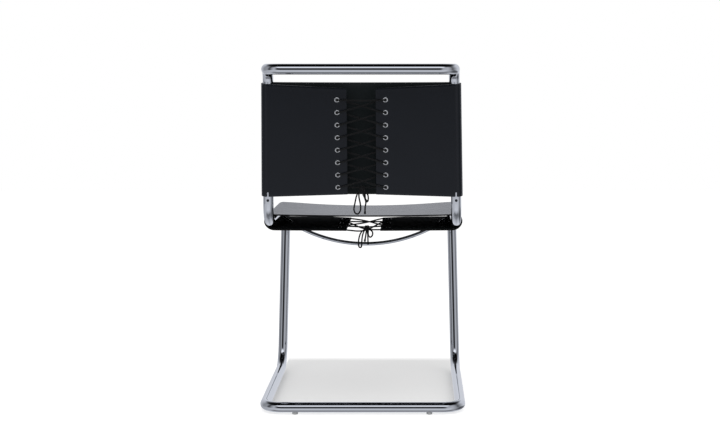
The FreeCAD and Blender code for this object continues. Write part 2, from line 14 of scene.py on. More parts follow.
import bmesh
import bpy
from mathutils import Matrix, Vector
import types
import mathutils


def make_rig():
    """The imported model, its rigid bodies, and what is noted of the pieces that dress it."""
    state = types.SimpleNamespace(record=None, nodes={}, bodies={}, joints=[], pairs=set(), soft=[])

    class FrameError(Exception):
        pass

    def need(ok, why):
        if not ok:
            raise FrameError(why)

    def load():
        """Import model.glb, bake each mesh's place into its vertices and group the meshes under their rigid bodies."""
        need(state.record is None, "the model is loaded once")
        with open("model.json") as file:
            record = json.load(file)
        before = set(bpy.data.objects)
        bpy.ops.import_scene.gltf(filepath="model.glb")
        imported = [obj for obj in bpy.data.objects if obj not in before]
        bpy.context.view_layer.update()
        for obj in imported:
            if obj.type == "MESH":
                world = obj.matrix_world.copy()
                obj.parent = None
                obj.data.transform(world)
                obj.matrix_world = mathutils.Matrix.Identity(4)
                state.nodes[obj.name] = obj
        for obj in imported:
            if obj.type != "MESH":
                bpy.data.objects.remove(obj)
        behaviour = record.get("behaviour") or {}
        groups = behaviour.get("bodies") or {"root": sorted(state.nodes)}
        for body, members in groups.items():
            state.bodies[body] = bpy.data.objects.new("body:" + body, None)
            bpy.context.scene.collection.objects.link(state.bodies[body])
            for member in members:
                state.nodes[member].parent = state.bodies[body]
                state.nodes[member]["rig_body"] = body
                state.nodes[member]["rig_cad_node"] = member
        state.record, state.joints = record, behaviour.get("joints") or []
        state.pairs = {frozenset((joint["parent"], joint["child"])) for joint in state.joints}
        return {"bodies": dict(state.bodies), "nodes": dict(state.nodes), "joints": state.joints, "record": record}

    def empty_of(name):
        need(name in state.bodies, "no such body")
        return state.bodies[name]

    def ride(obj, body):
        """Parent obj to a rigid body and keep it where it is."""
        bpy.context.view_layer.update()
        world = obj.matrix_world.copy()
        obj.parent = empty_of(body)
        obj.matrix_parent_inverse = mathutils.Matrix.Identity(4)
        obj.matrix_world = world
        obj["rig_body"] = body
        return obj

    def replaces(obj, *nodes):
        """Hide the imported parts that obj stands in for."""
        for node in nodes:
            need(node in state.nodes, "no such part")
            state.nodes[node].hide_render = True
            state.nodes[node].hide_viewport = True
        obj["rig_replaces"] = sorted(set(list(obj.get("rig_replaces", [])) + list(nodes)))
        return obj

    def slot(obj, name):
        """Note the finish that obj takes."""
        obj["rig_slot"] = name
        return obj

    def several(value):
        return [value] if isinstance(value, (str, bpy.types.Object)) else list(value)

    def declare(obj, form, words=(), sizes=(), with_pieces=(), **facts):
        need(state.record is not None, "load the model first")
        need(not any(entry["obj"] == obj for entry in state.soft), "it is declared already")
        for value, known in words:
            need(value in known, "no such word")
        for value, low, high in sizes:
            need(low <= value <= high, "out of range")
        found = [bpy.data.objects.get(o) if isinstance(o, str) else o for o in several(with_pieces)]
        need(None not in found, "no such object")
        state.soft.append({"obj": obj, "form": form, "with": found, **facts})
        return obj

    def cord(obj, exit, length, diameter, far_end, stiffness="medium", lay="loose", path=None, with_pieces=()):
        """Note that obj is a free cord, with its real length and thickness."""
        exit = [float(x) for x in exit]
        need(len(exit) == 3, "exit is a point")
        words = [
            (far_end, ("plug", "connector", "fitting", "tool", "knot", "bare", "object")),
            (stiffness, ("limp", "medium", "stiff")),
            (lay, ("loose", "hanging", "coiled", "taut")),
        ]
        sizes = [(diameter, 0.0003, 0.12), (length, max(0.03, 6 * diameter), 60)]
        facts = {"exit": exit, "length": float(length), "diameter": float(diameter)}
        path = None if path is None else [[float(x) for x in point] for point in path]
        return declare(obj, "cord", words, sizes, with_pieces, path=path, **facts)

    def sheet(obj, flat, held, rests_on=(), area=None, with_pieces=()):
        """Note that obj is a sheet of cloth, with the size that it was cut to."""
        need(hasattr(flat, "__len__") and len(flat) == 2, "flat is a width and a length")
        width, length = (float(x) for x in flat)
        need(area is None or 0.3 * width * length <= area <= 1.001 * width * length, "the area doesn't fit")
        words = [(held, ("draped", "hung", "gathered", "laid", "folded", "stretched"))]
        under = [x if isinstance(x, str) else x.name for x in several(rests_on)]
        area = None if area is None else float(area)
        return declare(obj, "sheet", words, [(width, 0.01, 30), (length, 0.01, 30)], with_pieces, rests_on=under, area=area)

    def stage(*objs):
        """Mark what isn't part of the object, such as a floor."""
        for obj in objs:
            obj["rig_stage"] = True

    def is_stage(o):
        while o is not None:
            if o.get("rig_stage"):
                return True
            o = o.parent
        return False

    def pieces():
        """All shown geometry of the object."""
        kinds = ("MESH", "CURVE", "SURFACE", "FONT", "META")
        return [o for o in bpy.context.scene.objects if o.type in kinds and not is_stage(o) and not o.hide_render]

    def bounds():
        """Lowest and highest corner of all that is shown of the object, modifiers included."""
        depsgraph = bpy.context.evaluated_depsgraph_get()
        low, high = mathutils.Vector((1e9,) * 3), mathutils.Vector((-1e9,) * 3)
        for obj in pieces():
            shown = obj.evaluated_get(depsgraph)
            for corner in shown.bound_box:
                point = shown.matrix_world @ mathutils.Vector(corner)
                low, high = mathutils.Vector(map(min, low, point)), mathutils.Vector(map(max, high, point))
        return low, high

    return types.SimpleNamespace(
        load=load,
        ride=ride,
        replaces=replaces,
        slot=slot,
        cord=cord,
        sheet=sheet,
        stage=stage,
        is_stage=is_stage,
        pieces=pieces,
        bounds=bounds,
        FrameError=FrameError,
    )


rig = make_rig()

log = logging.getLogger("chair")

Point = tuple[float, float, float]
Colour = tuple[float, float, float]
Stops = tuple[tuple[float, float], ...]
Line = Sequence[Vector]
Socket = bpy.types.NodeSocket
Piece = bpy.types.Object
Mesh = bpy.types.Mesh
Material = bpy.types.Material
SIZES_FILE = "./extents.json"
MILLIMETRE = 0.001
WHITE = (1.0, 1.0, 1.0)
CORD_SIDES = 12
CURVE_STEPS = 16
MERGE_DISTANCE = 1e-6
SHARP_ANGLE = math.radians(50)
SOFTENED_ANGLE = math.radians(60)
PUNCH_SIDES = 24
FINE_DETAIL = 3.0


class Hand(Enum):
    """The sitter's left, towards +X, and right."""

    LEFT = 1
    RIGHT = -1


class LeatherFace(Enum):
    """The grain side of the leather, its burnished cut edge, and its rough flesh side."""

    GRAIN = 0
    CUT = 1
    FLESH = 2


# Materials


class Nodes:
    """Adds and links the nodes of one material or world."""

    def __init__(self, tree: bpy.types.NodeTree) -> None:
        """Empties a node tree and takes charge of it."""
        self.tree = tree
        tree.nodes.clear()

    def add(self, kind: str, inputs: dict | None = None, **settings: object) -> bpy.types.Node:
        """Adds a node.

        Args:
            kind: Blender's name of the node type, without ShaderNode.
            inputs: Values or sockets for its inputs, by name or number.
            **settings: Values for its own properties.

        Returns:
            The new node.
        """
        node = self.tree.nodes.new("ShaderNode" + kind)
        for name, value in settings.items():
            setattr(node, name, value)
        for key, value in (inputs or {}).items():
            if isinstance(value, Socket):
                self.tree.links.new(value, node.inputs[key])
            else:
                node.inputs[key].default_value = value
        return node

    def place(self, kind: str = "Object") -> Socket:
        """Returns texture coordinates of a kind."""
        return self.add("TexCoord").outputs[kind]

    def split(self, place: Socket) -> bpy.types.bpy_prop_collection:
        """Returns the three coordinates of a place."""
        return self.add("SeparateXYZ", {0: place}).outputs

    def math(self, operation: str, first: object, second: object = 0.0, third: object = 0.0) -> Socket:
        """Adds a Math node and returns its output."""
        return self.add("Math", {0: first, 1: second, 2: third}, operation=operation).outputs[0]

    def times(self, first: object, second: object) -> Socket:
        """Returns the product of two values."""
        return self.math("MULTIPLY", first, second)

    def total(self, *parts: tuple[Socket, float]) -> Socket:
        """Adds up values, each times its weight.

        Args:
            *parts: Values and their weights.

        Returns:
            The total.
        """
        total = 0.0
        for value, weight in parts:
            total = self.math("MULTIPLY_ADD", value, weight, total)
        return total

    def blend(self, factor: object, low: object, high: object) -> Socket:
        """Mixes two colours, low at a factor of 0 and high at 1."""
        low, high = (value if isinstance(value, Socket) else (*value, 1.0) for value in (low, high))
        return self.add("Mix", {0: factor, 6: low, 7: high}, data_type="RGBA").outputs[2]

    def span(self, value: object, low: float, high: float, first: float = 0.0, last: float = 1.0) -> Socket:
        """Eases a value that goes from low to high into one that goes from first to last."""
        inputs = {0: value, 1: low, 2: high, 3: first, 4: last}
        return self.add("MapRange", inputs, interpolation_type="SMOOTHSTEP").outputs[0]

    def noise(self, place: Socket, scale: float, detail: float = 2.0) -> Socket:
        """Adds a Noise Texture with this many features a metre and returns its value."""
        return self.add("TexNoise", {"Vector": place, "Scale": scale, "Detail": detail}).outputs[0]

    def bump(self, height: Socket, depth: float, strength: float) -> Socket:
        """Adds a Bump node, where a height of 1 is this deep, and returns its normal."""
        return self.add("Bump", {"Height": height, "Distance": depth, "Strength": strength}).outputs[0]

    def ramp(self, value: object, stops: Sequence[tuple[float, Colour]]) -> Socket:
        """Adds a Color Ramp.

        Args:
            value: What it reads, from 0 to 1.
            stops: Places and colours.

        Returns:
            Its colour output.
        """
        node = self.add("ValToRGB", {0: value})
        elements = node.color_ramp.elements
        elements.remove(elements[1])
        elements[0].position = stops[0][0]
        elements[0].color = (*stops[0][1], 1.0)
        for place, colour in stops[1:]:
            elements.new(place).color = (*colour, 1.0)
        return node.outputs[0]


def new_material(name: str) -> tuple[Material, Nodes]:
    """Starts a material.

    Args:
        name: Its name.

    Returns:
        The material and its nodes.
    """
    material = bpy.data.materials.new(name)
    material.use_nodes = True
    return material, Nodes(material.node_tree)


@dataclass(frozen=True)
class Finish:
    """A finish that varies between two colours."""

    name: str
    low: Colour  # Its darker colour
    high: Colour  # Its lighter colour

    def shading(self, nodes: Nodes) -> dict[str, object]:
        """Returns what goes into its Principled shader."""
        raise NotImplementedError

    def material(self) -> Material:
        """Makes the finish.

        Returns:
            Its material.
        """
        material, nodes = new_material(self.name)
        nodes.add("OutputMaterial", {"Surface": nodes.add("BsdfPrincipled", self.shading(nodes)).outputs[0]})
        return material


@dataclass(frozen=True)
class PolishedMetal(Finish):
    """A polished metal with faint clouds, wiping marks and a few dull specks."""

    smooth: float  # Its least roughness
    dull: float  # Its most roughness
    clouds: float  # How many clouds a metre has
    marks: float  # How many wiping marks a metre has
    specks: float = 22.0  # How many specks there are to a cloud, along a line
    mark_share: float = 0.3  # How much of the haze the marks make
    mark_depth: float = 0.00004
    mark_strength: float = 0.05

    def shading(self, nodes: Nodes) -> dict[str, object]:
        """Adds the finish's own nodes.

        Args:
            nodes: The material's nodes.

        Returns:
            What goes into its Principled shader.
        """
        place = nodes.place()
        clouds = nodes.noise(place, self.clouds, FINE_DETAIL)
        marks = nodes.noise(place, self.marks)
        specks = nodes.span(nodes.noise(place, self.clouds * self.specks), 0.7, 0.8)
        haze = nodes.total((marks, self.mark_share), (clouds, 1 - self.mark_share))
        return {
            "Base Color": nodes.blend(clouds, self.low, self.high),
            "Metallic": 1.0,
            "Roughness": nodes.span(nodes.math("MAXIMUM", haze, specks), 0.25, 0.95, self.smooth, self.dull),
            "Normal": nodes.bump(marks, self.mark_depth, self.mark_strength),
        }


@dataclass(frozen=True)
class SaddleLeather(Finish):
    """Thick black leather, darker in its pores. It is burnished and lighter where a vertex attribute rises to 1: real
    wear along the sheet's edges, and a painted highlight where it wraps round the tubes.
    """

    face: LeatherFace
    worn: Colour  # Its colour where the leather wears, also used for the painted highlight round the tubes
    smooth: float  # Its least roughness
    matt: float  # Its most roughness
    wax: float  # How much wax lies on it
    wax_roughness: float = 0.16
    shine: float = 0.08  # Of the bare leather
    hide: float = 12.0  # How many clouds a metre has
    fibres: float = 2600.0  # How many fibres a metre has
    cells: float = 820.0  # How many pores a metre of grain has
    wander: float = 0.0012  # How far the pores stray
    drift: float = 260.0  # How many times a metre they stray
    layers: float = 900.0  # How many layers a metre of cut or flesh has
    depth: float = 0.00011
    strength: float = 0.3  # How much of the depth shows
    wax_strength: float = 0.08  # How much of it shows through the wax

    def shading(self, nodes: Nodes) -> dict[str, object]:
        """Adds the finish's own nodes.

        Args:
            nodes: The material's nodes.

        Returns:
            What goes into its Principled shader.
        """
        place = nodes.place()
        hide = nodes.noise(place, self.hide, 5.0)
        fine = nodes.noise(place, self.fibres, FINE_DETAIL)
        if self.face is LeatherFace.GRAIN:
            drift = nodes.add("TexNoise", {"Vector": place, "Scale": self.drift, "Detail": 2.0}).outputs[1]
            moved = nodes.add("Mix", {0: self.wander, 4: place, 5: drift}, data_type="VECTOR").outputs[1]
            cells = nodes.add("TexVoronoi", {"Vector": moved, "Scale": self.cells}, feature="DISTANCE_TO_EDGE")
            grain = nodes.span(cells.outputs[0], 0.0, 0.2)
            height = nodes.total((grain, 0.7), (fine, 0.5), (hide, 1.4))
        else:
            layers = nodes.noise(place, self.layers, 4.0)
            grain = nodes.span(layers, 0.3, 0.7)
            height = nodes.total((layers, 0.8), (fine, 0.3))
        # One attribute carries real wear along the edges and a painted highlight round the tubes; both lighten and
        # smooth the leather.
        rubbed_and_highlighted = nodes.times(nodes.add("Attribute", attribute_name="worn").outputs[2], hide)
        even = nodes.times(hide, grain)
        return {
            "Base Color": nodes.blend(rubbed_and_highlighted, nodes.blend(even, self.low, self.high), self.worn),
            "Roughness": nodes.span(nodes.math("MAXIMUM", rubbed_and_highlighted, even), 0.0, 0.8, self.matt, self.smooth),
            "Specular IOR Level": self.shine,
            "Coat Weight": self.wax,
            "Coat Roughness": self.wax_roughness,
            "Coat Normal": nodes.bump(height, self.depth, self.wax_strength),
            "Normal": nodes.bump(height, self.depth, self.strength),
        }


@dataclass(frozen=True)
class BraidedCord(Finish):
    """A round braided cord, with painted shade between its yarns. Its UV map runs in metres along and from 0 to 1
    around.
    """

    pitch: float  # How far along one yarn crosses the next
    yarns: int  # How many yarns turn each way
    fuzz: float = 4200.0  # How many hairs a metre has
    fuzz_depth: float = 0.0002

    def shading(self, nodes: Nodes) -> dict[str, object]:
        """Adds the finish's own nodes.

        Args:
            nodes: The material's nodes.

        Returns:
            What goes into its Principled shader.
        """
        uv = nodes.split(nodes.place("UV"))
        along = nodes.times(uv[0], 2 * math.pi / self.pitch)
        around = nodes.times(uv[1], 2 * math.pi * self.yarns)
        one, other = (nodes.math("SINE", nodes.math(way, along, around)) for way in ("ADD", "SUBTRACT"))
        # Painted shade: the colour darkens between the yarns, which have no bump of their own.
        painted_yarn_shade = nodes.math("MULTIPLY_ADD", nodes.times(one, other), 0.5, 0.5)
        fuzz = nodes.noise(nodes.place(), self.fuzz)
        return {
            "Base Color": nodes.blend(painted_yarn_shade, self.low, self.high),
            "Roughness": nodes.span(fuzz, 0.2, 0.8, 0.6, 0.85),
            "Sheen Weight": 0.1,
            "Sheen Roughness": 0.4,
            "Specular IOR Level": 0.25,
            "Normal": nodes.bump(nodes.times(fuzz, 0.35), self.fuzz_depth, 0.5),
        }


@dataclass(frozen=True)
class MouldedNylon(Finish):
    """The moulded plastic of the floor glides, scuffed towards the floor."""

    scuffed: Colour  # Its colour where it rubs on the floor
    scuff_height: float = 0.0015
    clouds: float = 180.0  # How many clouds a metre has
    grain: float = 3000.0  # How many grains a metre has
    grain_depth: float = 0.00005
    glow_depth: float = 0.002  # How deep light goes in

    def shading(self, nodes: Nodes) -> dict[str, object]:
        """Adds the finish's own nodes.

        Args:
            nodes: The material's nodes.

        Returns:
            What goes into its Principled shader.
        """
        place = nodes.place()
        cloud = nodes.noise(place, self.clouds, FINE_DETAIL)
        grain = nodes.noise(place, self.grain)
        low = nodes.span(nodes.split(place)[2], 0.0, self.scuff_height, 1.0, 0.0)
        scuff = nodes.times(low, nodes.span(cloud, 0.35, 0.65))
        return {
            "Base Color": nodes.blend(scuff, nodes.blend(cloud, self.low, self.high), self.scuffed),
            "Roughness": nodes.span(grain, 0.2, 0.8, 0.38, 0.55),
            "Subsurface Weight": 0.08,
            "Subsurface Radius": (self.glow_depth,) * 3,
            "Normal": nodes.bump(grain, self.grain_depth, 0.2),
        }


FINISHES = (
    PolishedMetal("tube_chrome", (0.84, 0.86, 0.9), (0.9, 0.92, 0.95), 0.012, 0.045, 9.0, 360.0),
    PolishedMetal("spigot_steel", (0.42, 0.42, 0.43), (0.55, 0.55, 0.56), 0.3, 0.42, 60.0, 2400.0),
    # The stop screws' steel is painted very dark, a painted shade standing for the shadow in their sockets.
    PolishedMetal("screw_steel", (0.07, 0.072, 0.08), (0.12, 0.122, 0.13), 0.2, 0.34, 120.0, 4800.0),
    PolishedMetal("eyelet_nickel", (0.68, 0.68, 0.68), (0.86, 0.86, 0.85), 0.14, 0.28, 160.0, 6400.0),
    SaddleLeather(
        "saddle_leather", (0.003, 0.0045, 0.008), (0.0052, 0.0075, 0.0128),
        LeatherFace.GRAIN, (0.0098, 0.0124, 0.017), 0.36, 0.5, 0.62,
    ),
    SaddleLeather(
        "leather_cut_edge", (0.0032, 0.0032, 0.0038), (0.0072, 0.0071, 0.0074),
        LeatherFace.CUT, (0.011, 0.0102, 0.0102), 0.28, 0.46, 0.1,
    ),
    SaddleLeather(
        "leather_flesh_side", (0.0105, 0.0135, 0.0148), (0.0185, 0.022, 0.0238),
        LeatherFace.FLESH, (0.0215, 0.0245, 0.026), 0.78, 0.95, 0.0,
    ),
    BraidedCord("lace_cord", (0.0025, 0.0025, 0.003), (0.011, 0.0112, 0.012), 0.0024, 5),
    MouldedNylon("glide_nylon", (0.42, 0.43, 0.44), (0.58, 0.59, 0.6), (0.3, 0.29, 0.27)),
)


# How pieces are made and handed over


def select_only(*pieces: Piece) -> None:
    """Selects pieces and nothing else, the last one being active.

    Args:
        *pieces: The pieces.
    """
    bpy.ops.object.select_all(action="DESELECT")
    for piece in pieces:
        piece.select_set(True)
    bpy.context.view_layer.objects.active = pieces[-1]


def frame_at(origin: Vector, axis: Vector) -> Matrix:
    """Returns a frame at an origin, whose Z runs along an axis."""
    return Matrix.Translation(origin) @ axis.to_track_quat("Z", "Y").to_matrix().to_4x4()


def placed(name: str, data: bpy.types.ID, frame: Matrix | None = None) -> Piece:
    """Puts an object in the scene.

    Args:
        name: Its name.
        data: The mesh, camera or lamp that it shows.
        frame: Where it is, which is the origin if left out.

    Returns:
        The object.
    """
    thing = bpy.data.objects.new(name, data)
    thing.matrix_world = frame or Matrix()
    bpy.context.scene.collection.objects.link(thing)
    return thing


def copies(model: Piece, name: str, frames: Sequence[Matrix]) -> Piece:
    """Sets a copy of a small piece in each frame and joins them.

    Args:
        model: The piece, modelled round the origin.
        name: What the joined copies are called.
        frames: Where the copies go.

    Returns:
        The joined copies, at the origin.
    """
    select_only(*[placed(name, model.data.copy(), frame) for frame in frames])
    bpy.ops.object.join()
    bpy.ops.object.transform_apply(location=True, rotation=True, scale=True)
    joined = bpy.context.object
    joined.name = joined.data.name = name
    return joined


def modify(piece: Piece, kind: str, **settings: object) -> None:
    """Changes a piece by one modifier, which is applied.

    Args:
        piece: The piece.
        kind: Blender's name of the modifier's type.
        **settings: Values for its properties.
    """
    modifier = piece.modifiers.new(kind.lower(), kind)
    for name, value in settings.items():
        setattr(modifier, name, value)
    select_only(piece)
    bpy.ops.object.modifier_apply(modifier=modifier.name)


def line_length(line: Line) -> float:
    """Returns the length of a line of points."""
    return sum((b - a).length for a, b in zip(line, line[1:]))


def smooth_line(name: str, points: Line) -> list[Vector]:
    """Returns the points of a smooth curve that the given ones control.

    Args:
        name: A name for the working curve.
        points: The control points.

    Returns:
        Points along the curve, close together.
    """
    data = bpy.data.curves.new(name, "CURVE")
    data.dimensions = "3D"
    data.resolution_u = CURVE_STEPS
    spline = data.splines.new("NURBS")
    spline.points.add(len(points) - 1)
    for point, place in zip(spline.points, points):
        point.co = (*place, 1.0)
    spline.order_u = 3
    spline.use_endpoint_u = True
    curve = bpy.data.objects.new(name, data)
    mesh = bpy.data.meshes.new_from_object(curve)
    line = [vertex.co.copy() for vertex in mesh.vertices]
    bpy.data.objects.remove(curve)
    bpy.data.curves.remove(data)
    bpy.data.meshes.remove(mesh)
    return line


def finished_mesh(bm: bmesh.types.BMesh, name: str) -> Mesh:
    """Turns a working mesh into a smooth mesh whose faces point outwards.

    Args:
        bm: The working mesh, which is freed.
        name: The mesh's name.

    Returns:
        The mesh.
    """
    bmesh.ops.recalc_face_normals(bm, faces=bm.faces)
    for face in bm.faces:
        face.smooth = True
    mesh = bpy.data.meshes.new(name)
    bm.to_mesh(mesh)
    bm.free()
    return mesh


def round_cord(name: str, line: Line, radius: float, closed: bool = False) -> Mesh:
    """Returns a round cord along a line. Its UV map is in metres along and from 0 to 1 around.

    Args:
        name: The mesh's name.
        line: Points along it.
        radius: Its radius.
        closed: Whether its end joins its start.

    Returns:
        The mesh.
    """
    bm = bmesh.new()
    uv = bm.loops.layers.uv.new("UVMap")
    count = len(line)
    rings = []
    travelled = [0.0]
    normal = None
    for i, point in enumerate(line):
        before = line[i - 1] if i or closed else line[0]
        after = line[(i + 1) % count] if i + 1 < count or closed else line[-1]
        tangent = (after - before).normalized()
        normal = normal or tangent.orthogonal().normalized()
        normal = (normal - tangent * normal.dot(tangent)).normalized()
        beside = tangent.cross(normal)
        ring = []
        for k in range(CORD_SIDES):
            angle = 2 * math.pi * k / CORD_SIDES
            ring.append(bm.verts.new(point + (normal * math.cos(angle) + beside * math.sin(angle)) * radius))
        rings.append(ring)
        if i:
            travelled.append(travelled[-1] + (point - line[i - 1]).length)
    for i in range(count if closed else count - 1):
        j = (i + 1) % count
        start, end = travelled[i], travelled[i] + (line[j] - line[i]).length
        for k in range(CORD_SIDES):
            m = (k + 1) % CORD_SIDES
            face = bm.faces.new((rings[i][k], rings[i][m], rings[j][m], rings[j][k]))
            for loop, (along, turn) in zip(face.loops, ((start, k), (start, k + 1), (end, k + 1), (end, k))):
                loop[uv].uv = (along, turn / CORD_SIDES)
    if not closed:
        bm.faces.new(rings[0][::-1])
        bm.faces.new(rings[-1])
    return finished_mesh(bm, name)


@dataclass
class Bench:
    """Where pieces get their finish and are tied to the construction model."""

    nodes: dict[str, Piece]  # The CAD nodes' objects by name
    finishes: dict[str, Material] = field(
        default_factory=lambda: {finish.name: finish.material() for finish in FINISHES}
    )

    def carry(self, piece: Piece, slot: str, node: str) -> Piece:
        """Lets a piece ride on the chair and stand for a CAD node.

        Args:
            piece: The piece.
            slot: The record's material slot.
            node: The node it stands for.

        Returns:
            The piece.
        """
        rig.ride(piece, "root")
        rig.slot(piece, slot)
        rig.replaces(piece, node)
        log.info("%s: %d faces, for %s", piece.name, len(piece.data.polygons), node)
        return piece

    def paint(self, finish: str, *names: str) -> None:
        """Gives CAD nodes a material.

        Args:
            finish: The material's name.
            *names: The nodes.
        """
        for name in names:
            for slot in self.nodes[name].material_slots:
                slot.material = self.finishes[finish]
            log.info("%s: the CAD node, in %s", name, finish)

    def object_of(self, mesh: Mesh, *finishes: str) -> Piece:
        """Makes an object of a mesh, at the origin.

        Args:
            mesh: The mesh, in the row frame.
            *finishes: Its materials' names.

        Returns:
            The object, which has the mesh's name.
        """
        for finish in finishes:
            mesh.materials.append(self.finishes[finish])
        return placed(mesh.name, mesh)

    def cord(self, node: str, line: Line, diameter: float, closed: bool = False) -> Piece:
        """Makes a cord that stands for a node.

        Args:
            node: The node.
            line: Points along its middle.
            diameter: Its diameter.
            closed: Whether its end joins its start.

        Returns:
            The cord.
        """
        mesh = round_cord(node + "_cord", line, diameter / 2, closed)
        log.info("%s measures %.1f mm", node, line_length(line) / MILLIMETRE)
        return self.carry(self.object_of(mesh, "lace_cord"), "lace_cord", node)


@dataclass(frozen=True)
class Turning:
    """A small round piece that is drawn out of a ring, step by step."""

    name: str
    profile: tuple[tuple[float, float], ...]  # Radii and heights, from the first ring to the last
    sides: int  # How many sides a ring has
    closed: bool  # Whether the last ring is the first again. Otherwise both ends are closed on the axis

    def model(self, material: Material) -> Piece:
        """Models the piece round the Z axis.

        Args:
            material: Its material.

        Returns:
            The piece.
        """
        bpy.ops.object.select_all(action="DESELECT")
        radius, height = self.profile[0]
        bpy.ops.mesh.primitive_circle_add(
            vertices=self.sides, radius=radius, fill_type="NOTHING" if self.closed else "TRIFAN",
            location=(0.0, 0.0, height),
        )
        bpy.ops.object.transform_apply(location=True)
        bpy.ops.object.mode_set(mode="EDIT")
        if not self.closed:
            bpy.ops.mesh.region_to_loop()
        for wider, higher in self.profile[1:]:
            bpy.ops.mesh.extrude_region_move(TRANSFORM_OT_translate={"value": (0.0, 0.0, higher - height)})
            share = wider / radius
            bpy.ops.transform.resize(value=(share, share, 1.0), center_override=(0.0, 0.0, higher))
            radius, height = wider, higher
        if not self.closed:
            bpy.ops.mesh.edge_face_add()
            bpy.ops.mesh.poke()
        bpy.ops.mesh.select_all(action="SELECT")
        bpy.ops.mesh.remove_doubles(threshold=MERGE_DISTANCE)
        bpy.ops.mesh.normals_make_consistent(inside=False)
        bpy.ops.object.mode_set(mode="OBJECT")
        bpy.ops.object.shade_smooth_by_angle(angle=SHARP_ANGLE)
        piece = bpy.context.object
        piece.name = piece.data.name = self.name
        piece.data.materials.append(material)
        return piece


# The frame


@dataclass(frozen=True)
class TubeFrame:
    """The bent tube that everything hangs on, its hidden joints, its brace, its screws and its glides."""

    tube_radius: float = 0.0125
    rail_height: float = 0.458  # Of the seat rails' centre line
    rear_y: float = 0.21673  # Where the rear floor tube is
    upright_reach: float = 0.045  # Of the uprights' foot
    back_lean: float = math.radians(10.0)
    floor_axis: float = 0.0165  # Height of the floor tube's centre line
    base_half_width: float = 0.2375  # From the middle plane to the floor tube's centre line
    side_taper: float = 0.018 / 0.8135  # How much that distance shrinks with each metre up
    brace_reach: float = 0.28
    brace_drop: float = 0.0795  # From the rails down to the middle of the brace bow
    brace_steps: int = 64

    def half_width(self, height: float) -> float:
        """Returns how far a side tube's centre line is from the middle plane, at a height above the floor."""
        return self.base_half_width - self.side_taper * (height - self.floor_axis)

    def at(self, x: float, reach: float, height: float) -> Vector:
        """Returns a point from its distance towards the sitter's left, its reach and its height."""
        return Vector((x, self.rear_y - reach, height))

    def on_back(self, x: float, out: float, up: float) -> Vector:
        """Returns a point from its place on the leaning back.

        Args:
            x: Distance towards the sitter's left.
            out: Distance behind the plane of the uprights.
            up: Distance up the uprights from the seat rails.

        Returns:
            The point in the row frame.
        """
        sine, cosine = math.sin(self.back_lean), math.cos(self.back_lean)
        foot = self.at(x, self.upright_reach, self.rail_height)
        return foot + Vector((0.0, cosine * out + sine * up, cosine * up - sine * out))

    def brace_line(self) -> list[Vector]:
        """Works out the brace bow's arc.

        Returns:
            Points along its middle, from rail to rail.
        """
        half = self.half_width(self.rail_height)
        radius = (half ** 2 + self.brace_drop ** 2) / (2 * self.brace_drop)
        turn = math.asin(half / radius)
        line = []
        for i in range(self.brace_steps + 1):
            angle = turn * (1 - 2 * i / self.brace_steps)
            height = self.rail_height - self.brace_drop + radius * (1 - math.cos(angle))
            line.append(self.at(radius * math.sin(angle), self.brace_reach, height))
        return line

    def dress(self, bench: Bench) -> None:
        """Gives the frame's CAD nodes their finishes.

        Args:
            bench: The bench.
        """
        bench.paint("tube_chrome", "base_frame_tube", "back_frame_tube", "seat_brace_bow")
        bench.paint("spigot_steel", "rail_spigot_left", "rail_spigot_right", "rail_joint_screws")
        bench.paint("screw_steel", "sleeve_stop_screws")
        for end in ("rear", "front"):
            for hand in Hand:
                bench.paint("glide_nylon", f"floor_glide_{end}_{hand.name.lower()}")


FRAME = TubeFrame()


# The slings


@dataclass(frozen=True)
class Eyelet:
    """An eyelet set through a flap: a thin domed flange outside, a barrel, and an end that is rolled over inside."""

    bore: float = 0.0064  # Its clear diameter
    flange: float = 0.012  # Diameter of the flange
    crest: float = 0.0084  # Diameter of the ring where its dome is highest
    hole: float = 0.0076  # Diameter of the hole in the leather
    rise: float = 0.0008  # How far the flange's dome stands off the leather
    roll: float = 0.0005  # How far the rolled end stands off it inside
    wall: float = 0.0005  # Of the barrel
    lip: float = 0.0011  # How wide the rolled end is
    film: float = 0.00002  # Between the flange and the leather
    sides: int = 36

    def model(self, leather: float, material: Material) -> Piece:
        """Models the eyelet with its flange's seat at the origin, outwards being +Z.

        Args:
            leather: How thick the leather is.
            material: Its material.

        Returns:
            The eyelet.
        """
        bore, flange, crest = self.bore / 2, self.flange / 2, self.crest / 2
        barrel = bore + self.wall
        rolled = barrel + self.lip
        rise, inner = self.rise, -leather - self.roll
        profile = (
            (bore, -leather * 0.5), (bore, 0.0002), (bore + 0.0001, rise * 0.5), (bore + 0.0003, rise * 0.78),
            (bore + 0.0006, rise * 0.94), (crest, rise), (crest + 0.0004, rise * 0.95), (crest + 0.0009, rise * 0.74),
            (flange - 0.0004, rise * 0.34), (flange, rise * 0.12), (flange, self.film), (barrel, self.film),
            (barrel, -leather), (rolled, -leather), (rolled + 0.0001, -leather - self.roll * 0.5),
            (rolled - 0.0004, inner), (bore + 0.0002, inner), (bore, -leather * 0.9), (bore, -leather * 0.5),
        )
        return Turning("eyelet", profile, self.sides, closed=True).model(material)


